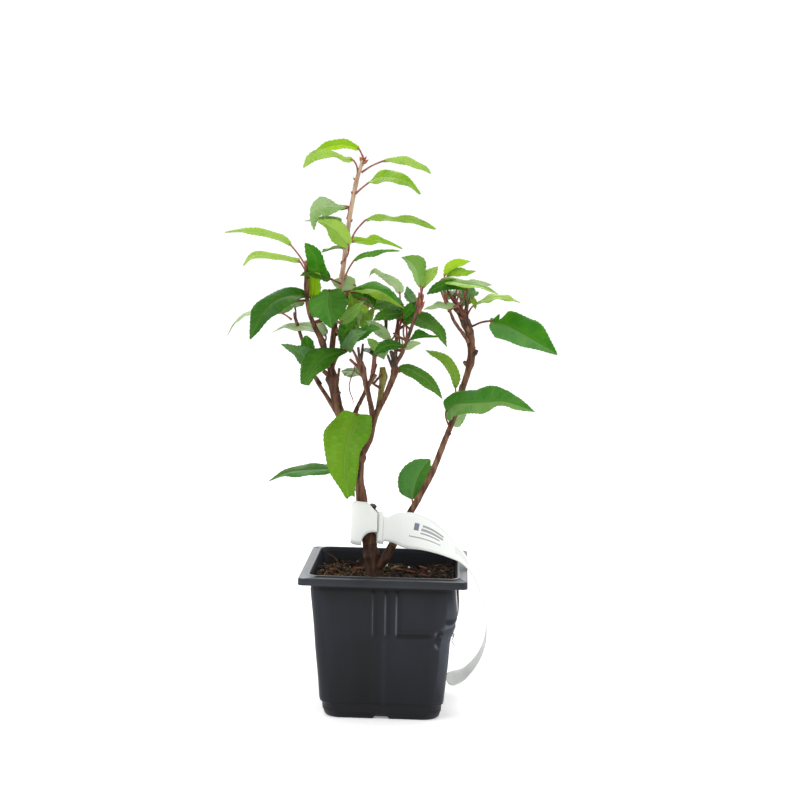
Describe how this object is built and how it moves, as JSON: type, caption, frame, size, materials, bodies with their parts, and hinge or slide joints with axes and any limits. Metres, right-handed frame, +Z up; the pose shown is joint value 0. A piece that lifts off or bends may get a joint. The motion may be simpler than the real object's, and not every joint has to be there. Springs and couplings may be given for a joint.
{
  "type": "potted portuguese laurel",
  "caption": "Young Portuguese laurel shrub with slender forked stems and glossy saw-edged leaves, standing in a square nursery pot with a loop label round its trunk.",
  "frame": {"origin": "centre of the pot's flat underside", "axes": "+Z up, +X the plant's right and +Y its back as seen from the front, the pot's walls square to X and Y"},
  "size_m": [0.1906, 0.1019, 0.313],
  "materials": {
    "bark": "matte",
    "young_bark": "satin",
    "foliage": "satin",
    "young_foliage": "satin",
    "pot_plastic": "satin",
    "compost": "matte",
    "label_film": "satin"
  },
  "bodies": {
    "root": {"pot": "pot_plastic", "compost": "compost", "trunk": "bark", "left_bough": "bark", "leader": "young_bark", "left_shoot": "bark", "left_twig": "young_bark", "centre_bough": "bark", "middle_bough": "bark", "cross_twig": "bark", "green_stub": "young_bark", "centre_shoot": "young_bark", "right_shoot": "bark", "right_stem": "bark", "right_stem_top": "bark", "inner_twig": "bark", "tip_left": "young_foliage", "tip_right_upper": "young_foliage", "tip_right_lower": "young_foliage", "upper_left": "young_foliage", "mid_left": "young_foliage", "mid_right": "foliage", "mid_back": "young_foliage", "mid_low_right": "foliage", "far_left_upper": "young_foliage", "far_left_lower": "young_foliage", "left_upright": "foliage", "left_broad": "foliage", "left_back": "foliage", "left_inner_back": "young_foliage", "front_round": "foliage", "low_cluster": "foliage", "centre_blue": "foliage", "centre_arch": "foliage", "centre_back": "foliage", "centre_pale": "foliage", "centre_dark": "foliage", "right_arch": "foliage", "low_sickle": "foliage", "low_back": "foliage", "upright_pair": "foliage", "top_right": "young_foliage", "right_long": "foliage", "right_tip": "young_foliage", "right_back": "foliage", "far_right": "foliage", "narrow_right": "young_foliage", "right_low": "foliage", "basal_right": "foliage", "basal_left": "foliage", "hanging_front": "young_foliage", "label_loop": "label_film", "label_tail_upper": "label_film", "label_tail_lower": "label_film"}
  },
  "joints": []
}
